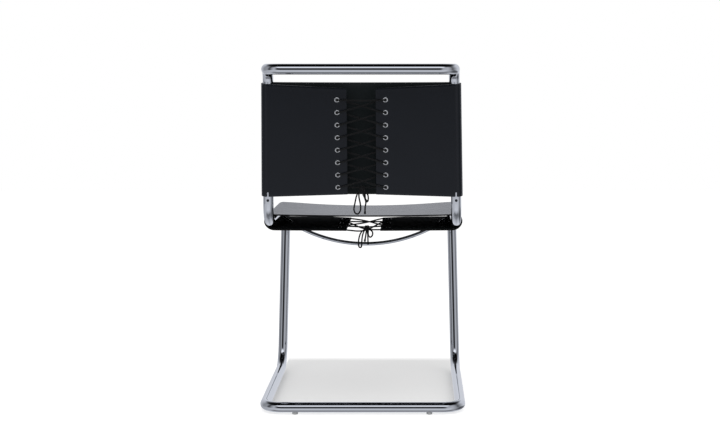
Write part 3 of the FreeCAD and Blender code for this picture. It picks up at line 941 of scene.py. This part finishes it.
@dataclass(frozen=True)
class Sling:
    """A sheet of leather round two tubes, with its two ends turned in behind and set with eyelets."""

    part: str  # Start of its nodes' names
    sag_near: float  # How far its face hangs in between the tubes, at its near end
    sag_far: float  # The same at its far end
    gap: float  # Between the two flaps
    near: float  # Where it starts, along the tubes
    far: float  # Where it ends
    near_slant: float  # How much shorter a flap is at the gap, at its near end
    far_slant: float  # The same at its far end
    far_corner: float  # How far its far corners are rounded back at the tubes
    loose_out: float  # How far the turn round a tube bulges from its inner side
    loose_rail: float  # How far the flap hangs off the tube beside it
    loose_gap: float  # The same at the gap
    eyelet_x: float  # Distance of the eyelets from the middle
    eyelets: tuple[float, ...]  # Where the eyelets are, along
    eyelet: Eyelet = Eyelet()
    thickness: float = 0.0035  # Of the leather
    clearance: float = 0.0003  # Between the leather and the tubes
    corner_start: float = 0.76  # Where the far corners start to round, as a share of the half width
    softened: float = 0.0008  # Width of the softened edges
    worn_rows: float = 2.5  # How many rows from an edge it is worn
    wear_and_highlight_band: float = 0.006  # How near the outermost line on a tube it has wear and a painted highlight
    bend_wear_and_highlight: float = 0.8  # How much wear and painted highlight it has there
    rows: int = 56  # Steps along the tubes
    flap_steps: int = 30
    turn_steps: int = 16  # In each quarter round a tube
    face_steps: int = 40  # From a tube to the middle of the face

    def place(self, x: float, out: float, along: float) -> Vector:
        """Returns the point this far to the left, out from the tubes' plane and along the tubes."""
        raise NotImplementedError

    def half_width(self, along: float) -> float:
        """Returns half the distance between the tubes' centre lines, this far along."""
        raise NotImplementedError

    def cuts(self, bench: Bench) -> list[Piece]:
        """Returns what is cut out of the leather besides the eyelets' holes."""
        raise NotImplementedError

    @property
    def radius(self) -> float:
        """Radius of the middle of the leather where it lies on a tube."""
        return FRAME.tube_radius + self.clearance + self.thickness / 2

    def hang(self, x: float, width: float) -> float:
        """Returns how much further out than a tight one the flap is at x, between tubes 2 * width apart."""
        share = (width - abs(x)) / (width - self.gap / 2)
        return self.loose_rail + (self.loose_gap - self.loose_rail) * min(max(share, 0.0), 1.0)

    def section(self, width: float, sag: float) -> list[Point]:
        """Returns half its section on the middle of the leather, from the flap's end to the middle.

        Args:
            width: Half the distance between the tubes' centre lines.
            sag: How far its face hangs in between them.

        Returns:
            Points as (x, out, share of the flap's width).
        """
        distance = (width ** 2 + sag ** 2) / (2 * sag)
        height = distance - sag
        points = []
        inner = width - self.loose_out
        for i in range(self.flap_steps):
            share = i / self.flap_steps
            x = self.gap / 2 + (inner - self.gap / 2) * share
            points.append((x, self.radius + self.hang(x, width), 1 - share))
        for i in range(self.turn_steps):
            angle = math.pi / 2 * i / self.turn_steps
            x = inner + (self.radius + self.loose_out) * math.sin(angle)
            points.append((x, (self.radius + self.loose_rail) * math.cos(angle), 0.0))
        end = math.atan2(height, -width)
        for i in range(self.turn_steps):
            angle = end * i / self.turn_steps
            points.append((width + self.radius * math.cos(angle), -self.radius * math.sin(angle), 0.0))
        lean = math.asin(width / distance)
        face = distance - self.radius
        for i in range(self.face_steps + 1):
            angle = lean * (1 - i / self.face_steps)
            points.append((face * math.sin(angle), face * math.cos(angle) - height, 0.0))
        return points

    def far_edge(self, x: float, slant: float, width: float) -> float:
        """Returns where the sheet ends, along.

        Args:
            x: Distance from the middle.
            slant: Share of the flap's width, 0 elsewhere.
            width: Half the distance between the tubes.

        Returns:
            The place of its far edge.
        """
        start = width * self.corner_start
        share = min(max((abs(x) - start) / (width - start + self.radius), 0.0), 1.0)
        rounded = self.far_corner if slant else self.far_corner * (1 - math.sqrt(1 - share ** 2))
        return self.far - max(rounded, self.far_slant * slant)

    def sheet(self) -> Mesh:
        """Makes the middle surface of the leather.

        Returns:
            A grid that has wear along its edges, wear and a painted highlight round the tubes, and faces the sitter.
        """
        bm = bmesh.new()
        worn = bm.verts.layers.float.new("worn")
        grid = []
        for j in range(self.rows + 1):
            share = j / self.rows
            width = self.half_width(self.near + (self.far - self.near) * share)
            half = self.section(width, self.sag_near + (self.sag_far - self.sag_near) * share)
            line = []
            for side, points in ((1, half), (-1, half[-2::-1])):
                for x, out, slant in points:
                    near = self.near + self.near_slant * slant
                    far = self.far_edge(x, slant, width)
                    vertex = bm.verts.new(self.place(side * x, out, near + (far - near) * share))
                    edge = max(0.0, 1 - min(share, 1 - share) * self.rows / self.worn_rows)
                    # The outermost line round a tube gets wear and a painted highlight.
                    bend = max(0.0, 1 - abs(x - width - self.radius) / self.wear_and_highlight_band)
                    vertex[worn] = max(edge, bend * self.bend_wear_and_highlight)
                    line.append(vertex)
            grid.append(line)
        for low, high in zip(grid, grid[1:]):
            for i in range(len(low) - 1):
                bm.faces.new((low[i], low[i + 1], high[i + 1], high[i]))
        mesh = finished_mesh(bm, self.part + "_sling_leather")
        middle = self.place(0.0, self.sag_near, (self.near + self.far) / 2)
        sitter = self.place(0.0, self.sag_near - 1.0, (self.near + self.far) / 2) - middle
        closest = min(mesh.polygons, key=lambda face: (face.center - middle).length)
        if closest.normal.dot(sitter) < 0:
            mesh.flip_normals()
        return mesh

    def eyelet_frames(self, side: int) -> list[Matrix]:
        """Returns the frames of one flap's eyelets, on its outer face.

        Args:
            side: 1 for the flap on the +X side, -1 for the other.

        Returns:
            The frames, outwards being their Z.
        """
        frames = []
        for along in self.eyelets:
            out = self.radius + self.thickness / 2 + self.hang(self.eyelet_x, self.half_width(along))
            seat = self.place(side * self.eyelet_x, out, along)
            frames.append(frame_at(seat, self.place(side * self.eyelet_x, out + 0.01, along) - seat))
        return frames

    def punch(self) -> list[Piece]:
        """Makes what punches the eyelets' holes.

        Returns:
            A punch for each flap.
        """
        bpy.ops.object.select_all(action="DESELECT")
        bpy.ops.mesh.primitive_cylinder_add(vertices=PUNCH_SIDES, radius=self.eyelet.hole / 2, depth=self.thickness * 3)
        model = bpy.context.object
        punches = [copies(model, "punch", self.eyelet_frames(hand.value)) for hand in Hand]
        bpy.data.objects.remove(model)
        return punches

    def make(self, bench: Bench) -> None:
        """Makes the leather and its eyelets.

        Args:
            bench: The bench.
        """
        mesh = self.sheet()
        area = sum(face.area for face in mesh.polygons)
        half = [Vector(point[:2]) for point in self.section(self.half_width(self.near), self.sag_near)]
        flat = (2 * line_length(half), self.far - self.near)
        piece = bench.object_of(mesh, "saddle_leather", "leather_cut_edge", "leather_flesh_side")
        modify(
            piece, "SOLIDIFY", thickness=self.thickness, offset=0.0, use_even_offset=True,
            material_offset_rim=LeatherFace.CUT.value, material_offset=LeatherFace.FLESH.value,
        )
        for cutter in self.punch() + self.cuts(bench):
            modify(piece, "BOOLEAN", object=cutter, solver="EXACT")
            bpy.data.objects.remove(cutter)
        modify(piece, "BEVEL", width=self.softened, segments=3, limit_method="ANGLE", angle_limit=SOFTENED_ANGLE)
        bench.carry(piece, "saddle_leather", self.part + "_sling")
        eyelets = self.set_eyelets(bench)
        log.info("%s was cut %.0f x %.0f mm", piece.name, flat[0] / MILLIMETRE, flat[1] / MILLIMETRE)
        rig.sheet(
            piece, flat=flat, held="stretched", rests_on=["base_frame_tube", "back_frame_tube"],
            area=min(area, flat[0] * flat[1]), with_pieces=eyelets,
        )

    def set_eyelets(self, bench: Bench) -> list[Piece]:
        """Sets the eyelets in both flaps.

        Args:
            bench: The bench.

        Returns:
            The eyelets of each flap.
        """
        model = self.eyelet.model(self.thickness, bench.finishes["eyelet_nickel"])
        made = []
        for hand in Hand:
            node = f"{self.part}_eyelets_{hand.name.lower()}"
            piece = copies(model, node + "_metal", self.eyelet_frames(hand.value))
            made.append(bench.carry(piece, "eyelet_nickel", node))
        bpy.data.objects.remove(model)
        return made


@dataclass(frozen=True)
class BackSling(Sling):
    """The back, laced behind the sitter."""

    slit_width: float = 0.0045  # Of the slit that clears a stop screw
    slit_height: float = 0.011
    slit_depth: float = 0.012  # Of what cuts it

    def place(self, x: float, out: float, along: float) -> Vector:
        """Returns a point of the back, along being upwards."""
        return FRAME.on_back(x, out, along)

    def half_width(self, along: float) -> float:
        """Returns half the distance between the uprights' centre lines, this far up."""
        return FRAME.half_width(FRAME.rail_height + along * math.cos(FRAME.back_lean))

    def cuts(self, bench: Bench) -> list[Piece]:
        """Returns what cuts the slits at the feet of the sleeves.

        Args:
            bench: The bench, which is not used.

        Returns:
            The cutters.
        """
        cutters = []
        for hand in Hand:
            bpy.ops.object.select_all(action="DESELECT")
            bpy.ops.mesh.primitive_cube_add(size=1.0, scale=(self.slit_width, self.slit_depth, 2 * self.slit_height))
            cutter = bpy.context.object
            seat = self.place(hand.value * self.half_width(self.near), self.radius, self.near)
            cutter.matrix_world = Matrix.Translation(seat) @ Matrix.Rotation(-FRAME.back_lean, 4, "X")
            bpy.ops.object.transform_apply(location=True, rotation=True)
            cutters.append(cutter)
        return cutters


@dataclass(frozen=True)
class SeatSling(Sling):
    """The seat, laced underneath."""

    slot_radius: float = 0.0075  # Of the slots that the brace bow goes through

    def place(self, x: float, out: float, along: float) -> Vector:
        """Returns a point of the seat, along being forwards."""
        return FRAME.at(x, along, FRAME.rail_height - out)

    def half_width(self, along: float) -> float:
        """Returns half the distance between the rails' centre lines, which are parallel."""
        return FRAME.half_width(FRAME.rail_height)

    def cuts(self, bench: Bench) -> list[Piece]:
        """Returns what cuts the brace bow's slots."""
        return [bench.object_of(round_cord("slots", FRAME.brace_line(), self.slot_radius))]


# The lacings


@dataclass(frozen=True)
class Bow:
    """The bow that ties a lacing."""

    prefix: str  # Start of its nodes' names
    routes: dict[str, tuple[Point, ...]]  # Each loop's and tail's way from the knot's middle, in millimetres
    diameter: float = 0.0038  # Of the cord
    knot_size: Point = (0.00155, -0.0021, 0.00118)
    knot_steps: int = 96
    whipping: float = 0.006  # How long the thread is wound round a tail's end
    whipping_turns: int = 6
    whipping_steps: int = 4  # In each of its turns
    whipping_sides: int = 20
    thread: float = 0.00034  # How far its turns stand out
    swell: float = 0.0003  # How far it stands off the cord, and again in its middle

    def knot(self, bench: Bench, centre: Vector) -> None:
        """Makes the knot, a cord that runs through itself three times.

        Args:
            bench: The bench.
            centre: Its middle.
        """
        line = []
        for i in range(self.knot_steps):
            turn = 2 * math.pi * i / self.knot_steps
            path = Vector((
                math.sin(turn) + 2 * math.sin(2 * turn), math.sin(3 * turn), math.cos(turn) - 2 * math.cos(2 * turn),
            ))
            line.append(centre + path * Vector(self.knot_size))
        bench.cord(self.prefix + "_knot", line, self.diameter, closed=True)

    def whipped_ends(self, bench: Bench, frames: Sequence[Matrix]) -> Piece:
        """Makes the thread that is wound round the tails' ends.

        Args:
            bench: The bench.
            frames: Where the tails end, Z being their direction.

        Returns:
            The windings.
        """
        radius = self.diameter / 2
        profile = [(radius * 0.6, -0.0004), (radius * 1.04, -0.0003)]
        steps = self.whipping_turns * self.whipping_steps
        for i in range(steps + 1):
            share = i / steps
            thread = self.thread * abs(math.sin(self.whipping_turns * math.pi * share))
            swell = self.swell * (1 + math.sin(math.pi * share))
            profile.append((radius + thread + swell, self.whipping * share))
        profile += [(radius * 0.9, self.whipping + 0.0002), (radius * 0.3, self.whipping + 0.0003)]
        material = bench.finishes["lace_cord"]
        model = Turning("whipping", tuple(profile), self.whipping_sides, closed=False).model(material)
        piece = copies(model, self.prefix + "_ends", frames)
        bpy.data.objects.remove(model)
        return bench.carry(piece, "lace_cord", self.prefix + "_end_knots")

    def make(self, bench: Bench, centre: Vector) -> None:
        """Makes the bow: its knot, its loops, its tails and their whipped ends.

        Args:
            bench: The bench.
            centre: Middle of its knot.
        """
        self.knot(bench, centre)
        cords = []
        frames = []
        for name, offsets in self.routes.items():
            points = [centre + Vector(offset) * MILLIMETRE for offset in offsets]
            line = smooth_line(name, points)
            if "tail" in name:
                frames.append(frame_at(line[-1], points[-1] - points[-2]))
            cords.append((name, bench.cord(name, line, self.diameter), line))
        ends = self.whipped_ends(bench, frames)
        for name, piece, line in cords:
            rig.cord(
                piece, exit=tuple(line[0]), length=line_length(line), diameter=self.diameter,
                far_end="knot" if "tail" in name else "object", stiffness="limp", lay="hanging",
                path=[tuple(point) for point in line], with_pieces=[ends] if name.endswith("tail_long") else [],
            )


@dataclass(frozen=True)
class Lacing:
    """A cord that crosses from flap to flap through their eyelets and is tied in a bow."""

    sling: Sling  # The sling it laces
    bow: Bow
    knot: Point  # Middle of its knot, as (x, out, along)
    slack: float  # How far its last cross hangs below the flaps
    diameter: float = 0.0038
    clearance: float = 0.00045  # Between the cord and what it passes
    crossing: float = 0.0028  # How far apart two strands that cross are from the level midway
    edge_margin: float = 0.004  # How far inside the gap a strand passes a flap's edge
    bowing: float = -0.0015  # How far the level strands bow along the gap
    knot_grip: float = 0.00325  # How far from the knot's middle a strand enters it

    def levels(self, along: float) -> tuple[float, float]:
        """Returns how far out the cord is outside and inside a flap.

        Args:
            along: Distance along the tubes.

        Returns:
            The two distances.
        """
        sling = self.sling
        middle = sling.radius + sling.hang(sling.eyelet_x, sling.half_width(along))
        half = sling.thickness / 2 + self.diameter / 2 + self.clearance
        return middle + half + sling.eyelet.rise, middle - half - sling.eyelet.roll

    def strand(self, side: int) -> tuple[list[Point], int]:
        """Returns one strand of the lacing, from its first eyelet to its last.

        Args:
            side: The side of its first eyelet, 1 for +X and -1 for -X.

        Returns:
            Its route as (x, out, along), and the side of its last eyelet.
        """
        reach = self.sling.eyelet_x
        edge = self.sling.gap / 2 - self.edge_margin
        rows = self.sling.eyelets
        route: list[Point] = []
        for i, along in enumerate(rows):
            outside, inside = self.levels(along)
            lead = outside - inside
            bend = lead / (2 * reach)
            before = (along - rows[i - 1]) * bend if i else 0.0
            route.append((side * (reach - lead), outside, along - before))
            route += [(side * reach, outside, along), (side * reach, inside, along)]
            if i == len(rows) - 1:
                break
            step = rows[i + 1] - along
            route.append((side * (reach - lead), inside, along + step * bend))
            hangs = i == len(rows) - 2 and self.slack > 0
            level = outside + self.slack if hangs else (outside + inside) / 2
            for x, out in ((edge, inside), (0.0, level - side * self.crossing), (-edge, outside)):
                if x >= 0 or not hangs:
                    route.append((side * x, out, along + step * (1 - x / reach) / 2))
            side = -side
        return route, side

    def route(self) -> list[Vector]:
        """Works out the way of the whole lacing.

        Returns:
            Its control points, from one end in the knot to the other.
        """
        sling = self.sling
        edge = sling.gap / 2 - self.edge_margin
        last = sling.eyelets[-1]
        x, out, along = self.knot
        outside, inside = self.levels(last)
        halves = []
        for hand in Hand:
            route, side = self.strand(hand.value)
            route.append((side * (sling.eyelet_x - outside + inside), inside, last))
            route.append((side * edge, inside, last + self.bowing))
            route.append((x + side * self.knot_grip, out, along))
            halves.append(route)
        top = (0.0, self.levels(sling.eyelets[0])[0] - self.bowing / 2, sling.eyelets[0] + self.bowing)
        return [sling.place(*point) for point in halves[0][::-1] + [top] + halves[1]]

    def make(self, bench: Bench) -> None:
        """Makes the lace and its bow.

        Args:
            bench: The bench.
        """
        node = self.sling.part + "_lace"
        bench.cord(node, smooth_line(node, self.route()), self.diameter)
        self.bow.make(bench, self.sling.place(*self.knot))


BACK = BackSling(
    part="back", sag_near=0.004, sag_far=0.004, gap=0.069, near=0.07, far=0.344,
    near_slant=0.006, far_slant=0.009, far_corner=0.0, loose_out=0.0, loose_rail=0.0, loose_gap=0.0,
    eyelet_x=0.05725, eyelets=tuple(0.307 - 0.0305 * i for i in range(8)),
)
SEAT = SeatSling(
    part="seat", sag_near=0.003, sag_far=0.011, gap=0.084, near=0.097, far=0.437,
    near_slant=0.006, far_slant=0.05, far_corner=0.034, loose_out=0.01, loose_rail=0.0075, loose_gap=0.0095,
    eyelet_x=0.061, eyelets=(0.348, 0.249, 0.15),
)
BACK_BOW = Bow(
    prefix="back_bow",
    routes={
        "back_bow_loop_left": (
            (4.2, -2.1, 0), (5.2, -2.3, -8), (13.5, -2.2, -17), (18.0, -1.6, -40), (20.8, -1.0, -53),
            (17.5, -0.4, -62.5), (10.5, 0.4, -65), (4.0, 1.0, -57), (3.6, 1.7, -43), (9.2, 2.5, -18),
            (4.6, 2.3, -7), (4.2, 2.1, 0),
        ),
        "back_bow_loop_right": (
            (-4.2, -2.1, 0), (-5.0, -2.3, -7), (-10.5, -2.4, -13), (-14.8, -1.8, -21), (-14.2, -0.9, -34.6),
            (-7.8, 1.2, -34.6), (-6.8, 2.2, -16), (-4.6, 2.2, -7), (-4.2, 2.1, 0),
        ),
        "back_bow_tail_long": (
            (0, -2.1, 0), (-0.4, -2.7, -9), (-4.0, -5.2, -22), (-9.4, -5.6, -36), (-6.4, -4.2, -48),
            (-6.3, -3.8, -58.6),
        ),
        "back_bow_tail_short": ((0, 2.1, 0), (0.3, 3.2, -9), (-3.0, 6.0, -20), (-9.6, 6.4, -30)),
    },
)
SEAT_BOW = Bow(
    prefix="seat_bow",
    routes={
        "seat_bow_loop_left": (
            (4.2, -2.1, 0), (5.4, -2.3, -7), (13.5, -2.4, -11), (18.8, -1.8, -22), (21.4, -1.0, -36),
            (20.6, -0.3, -51.5), (13.0, 0.8, -51.5), (12.9, 1.5, -34), (10.8, 2.2, -19), (6.8, 2.3, -9.5),
            (4.2, 2.1, 0),
        ),
        "seat_bow_loop_right": (
            (-4.2, -2.1, 0), (-5.0, -2.4, -6.5), (-11.0, -2.4, -8.5), (-15.2, -1.9, -14.5), (-13.2, -1.0, -23),
            (-7.7, 0.2, -26.5), (-3.0, 1.6, -20.5), (-3.6, 2.6, -9), (-4.2, 2.1, 0),
        ),
        "seat_bow_tail_long": ((0, -2.1, 0), (-0.9, -2.9, -8), (-2.2, -4.2, -21), (-2.6, -4.0, -38.5)),
        "seat_bow_tail_short": ((0, 2.1, 0), (1.3, 3.3, -8), (2.4, 5.2, -19), (4.4, 4.8, -30)),
    },
)
LACINGS = (
    Lacing(sling=BACK, bow=BACK_BOW, knot=(-0.0006, 0.00995, 0.092), slack=0.0),
    Lacing(sling=SEAT, bow=SEAT_BOW, knot=(-0.007, 0.022, 0.156), slack=0.008),
)


# The studio


@dataclass(frozen=True)
class Studio:
    """The camera, a floor, a white background, two soft lamps, and the cards that polished metal shows.

    The cards are what metal shows in the plane across the chair: degrees up from the camera's side, and brightness.
    The flanks are what upright metal shows, and low is what leaning metal shows, in degrees towards +X.
    """

    picture_width: int = 720  # Of the photograph, in pixels
    picture_height: int = 446
    focal: float = 1415.146  # The camera's focal length, in those pixels
    axis: tuple[float, float] = (414.307, 165.4)  # Where its axis meets the picture, from the left and the top
    pitch: float = 0.06787  # How far it looks down
    eye: Point = (-0.12561, 3.58226, 0.82986)
    sensor: float = 36.0
    cards: Stops = (
        (-180, 0.68), (-140, 0.66), (-123, 0.56), (-104, 0.44), (-88, 0.2), (-72, 0.13), (-62, 0.4), (-50, 0.6),
        (-32, 0.56), (-24, 0.5), (-15, 0.04), (-9, 0.006), (3, 0.006), (12, 0.04), (20, 0.09), (28, 0.6), (36, 0.95),
        (46, 0.95), (54, 0.1), (60, 0.002), (104, 0.0), (118, 0.02), (132, 0.08), (146, 0.3), (158, 0.66), (180, 0.68),
    )
    flanks: Stops = (
        (-180, 0.68), (-125, 0.6), (-100, 0.3), (-82, 0.1), (-66, 0.3), (-51, 0.44), (-24, 0.4), (-10, 0.06),
        (2, 0.018), (15, 0.01), (24, 0.06), (33, 0.3), (41, 0.46), (54, 0.3), (66, 0.08), (74, 0.08), (85, 0.3),
        (110, 0.26), (140, 0.5), (180, 0.68),
    )
    low: Stops = (
        (-180, 0.4), (-125, 0.1), (-100, 0.08), (-75, 0.3), (-40, 0.55), (0, 0.5), (60, 0.5), (100, 0.42), (180, 0.4),
    )
    tint: Colour = (0.95, 0.975, 1.05)  # Of the cards
    above: float = 0.01  # Brightness of what upright metal shows from above
    paint: float = 0.6  # How pale the floor is
    glow: float = 0.62  # How brightly it shines for the camera
    shade: float = -0.354  # How much less it glows inside the chair's base, a painted shade
    lamps: tuple[tuple[Point, float, float], ...] = (  # Place, size and power
        ((0.9, 1.8, 2.6), 2.4, 26.0), ((-1.6, 0.6, 2.2), 2.0, 12.0),
    )

    def make_camera(self) -> None:
        """Puts the camera where the photograph was taken from."""
        data = bpy.data.cameras.new("camera")
        data.sensor_width = self.sensor
        data.lens = self.sensor * self.focal / self.picture_width
        data.shift_x = 0.5 - self.axis[0] / self.picture_width
        data.shift_y = (self.axis[1] - self.picture_height / 2) / self.picture_width
        data.clip_end = 50.0
        turned = Matrix.Rotation(math.pi, 4, "Z") @ Matrix.Rotation(math.pi / 2 - self.pitch, 4, "X")
        bpy.context.scene.camera = placed("camera", data, Matrix.Translation(self.eye) @ turned)

    def make_world(self) -> None:
        """Lights the scene from all round: white for the camera, and a studio of cards for what shines."""
        world = bpy.data.worlds.new("studio")
        bpy.context.scene.world = world
        world.use_nodes = True
        nodes = Nodes(world.node_tree)
        x, y, z = nodes.split(nodes.place("Generated"))
        over, round_z = (
            nodes.math("MULTIPLY_ADD", nodes.math("ARCTAN2", side, y), 0.5 / math.pi, 0.5) for side in (z, x)
        )
        cards, flanks, low = (
            nodes.ramp(turn, [((angle + 180) / 360, self.cool(value)) for angle, value in stops])
            for turn, stops in ((over, self.cards), (round_z, self.flanks), (round_z, self.low))
        )
        flanks = nodes.blend(nodes.span(z, -0.34, -0.24), low, flanks)
        flanks = nodes.blend(nodes.span(z, 0.5, 0.8), flanks, self.cool(self.above))
        beside = nodes.math("DIVIDE", nodes.math("ABSOLUTE", x), nodes.math("MAXIMUM", nodes.math("ABSOLUTE", z), 0.1))
        shiny = nodes.blend(nodes.span(beside, 0.55, 0.95), cards, flanks)
        greys = [(place, (value,) * 3) for place, value in ((0.0, 0.5), (0.5, 0.62), (1.0, 0.8))]
        light = nodes.ramp(nodes.math("MULTIPLY_ADD", z, 0.5, 0.5), greys)
        path = nodes.add("LightPath").outputs
        for ray, seen in (("Glossy", shiny), ("Camera", WHITE), ("Transmission", WHITE)):
            light = nodes.blend(path[f"Is {ray} Ray"], light, seen)
        shader = nodes.add("Background", {"Color": light, "Strength": 1.0})
        nodes.add("OutputWorld", {"Surface": shader.outputs[0]})

    def cool(self, value: float) -> Colour:
        """Returns a slightly cool grey of a brightness."""
        return tuple(value * part for part in self.tint)

    def make_floor(self) -> None:
        """Lays the pale floor, with painted shade that makes it a little greyer inside the chair's base. It is clear
        from below and to what shines.
        """
        bm = bmesh.new()
        bmesh.ops.create_grid(bm, x_segments=8, y_segments=8, size=6.0)
        material, nodes = new_material("floor")
        x, y, _ = nodes.split(nodes.place())
        # Painted shade inside the base: a grey patch that fades out towards the front and ends before the rear floor
        # tube.
        across = nodes.span(nodes.math("ABSOLUTE", x), FRAME.base_half_width - 0.004, FRAME.base_half_width, 1.0, 0.0)
        front = nodes.span(y, -0.48, -0.4)
        rear = nodes.span(y, FRAME.rear_y - 0.08, FRAME.rear_y - 0.04, 1.0, 0.0)
        shade = nodes.times(nodes.times(across, front), rear)
        path = nodes.add("LightPath").outputs
        paint = nodes.add("BsdfDiffuse", {"Color": (self.paint,) * 3 + (1.0,)})
        strength = nodes.times(path["Is Camera Ray"], nodes.math("MULTIPLY_ADD", shade, self.shade, self.glow))
        glow = nodes.add("Emission", {"Color": (*WHITE, 1.0), "Strength": strength})
        both = nodes.add("AddShader", {0: paint.outputs[0], 1: glow.outputs[0]})
        below = nodes.add("NewGeometry").outputs["Backfacing"]
        seen = nodes.add("MixShader", {
            0: nodes.math("MAXIMUM", path["Is Glossy Ray"], below), 1: both.outputs[0],
            2: nodes.add("BsdfTransparent").outputs[0],
        })
        nodes.add("OutputMaterial", {"Surface": seen.outputs[0]})
        mesh = finished_mesh(bm, "floor")
        mesh.materials.append(material)
        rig.stage(placed("floor", mesh))

    def hang_lamps(self) -> None:
        """Hangs the soft lamps over the chair."""
        middle = Vector((0.0, 0.0, 0.45))
        for number, (place, size, power) in enumerate(self.lamps):
            data = bpy.data.lights.new(f"lamp_{number}", "AREA")
            data.size = size
            data.energy = power
            lamp = placed(data.name, data, frame_at(Vector(place), Vector(place) - middle))
            lamp.visible_glossy = False


def box_now() -> list[list[float]]:
    """Returns the model's box as plain numbers."""
    return [[float(value) for value in corner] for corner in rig.bounds()]


def main() -> None:
    """Dresses the chair and sets its stage."""
    logging.basicConfig(level=logging.INFO, format="%(message)s")
    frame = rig.load()
    cad_box = box_now()
    bpy.context.scene.view_settings.view_transform = "Standard"
    studio = Studio()
    studio.make_camera()
    bench = Bench(frame["nodes"])
    for lacing in LACINGS:
        lacing.make(bench)
    for sling in (BACK, SEAT):
        sling.make(bench)
    FRAME.dress(bench)
    studio.make_world()
    studio.make_floor()
    studio.hang_lamps()
    with open(SIZES_FILE, "w", encoding="utf-8") as file:
        json.dump({"cad": cad_box, "visual": box_now()}, file)


if __name__ == "__main__":
    main()
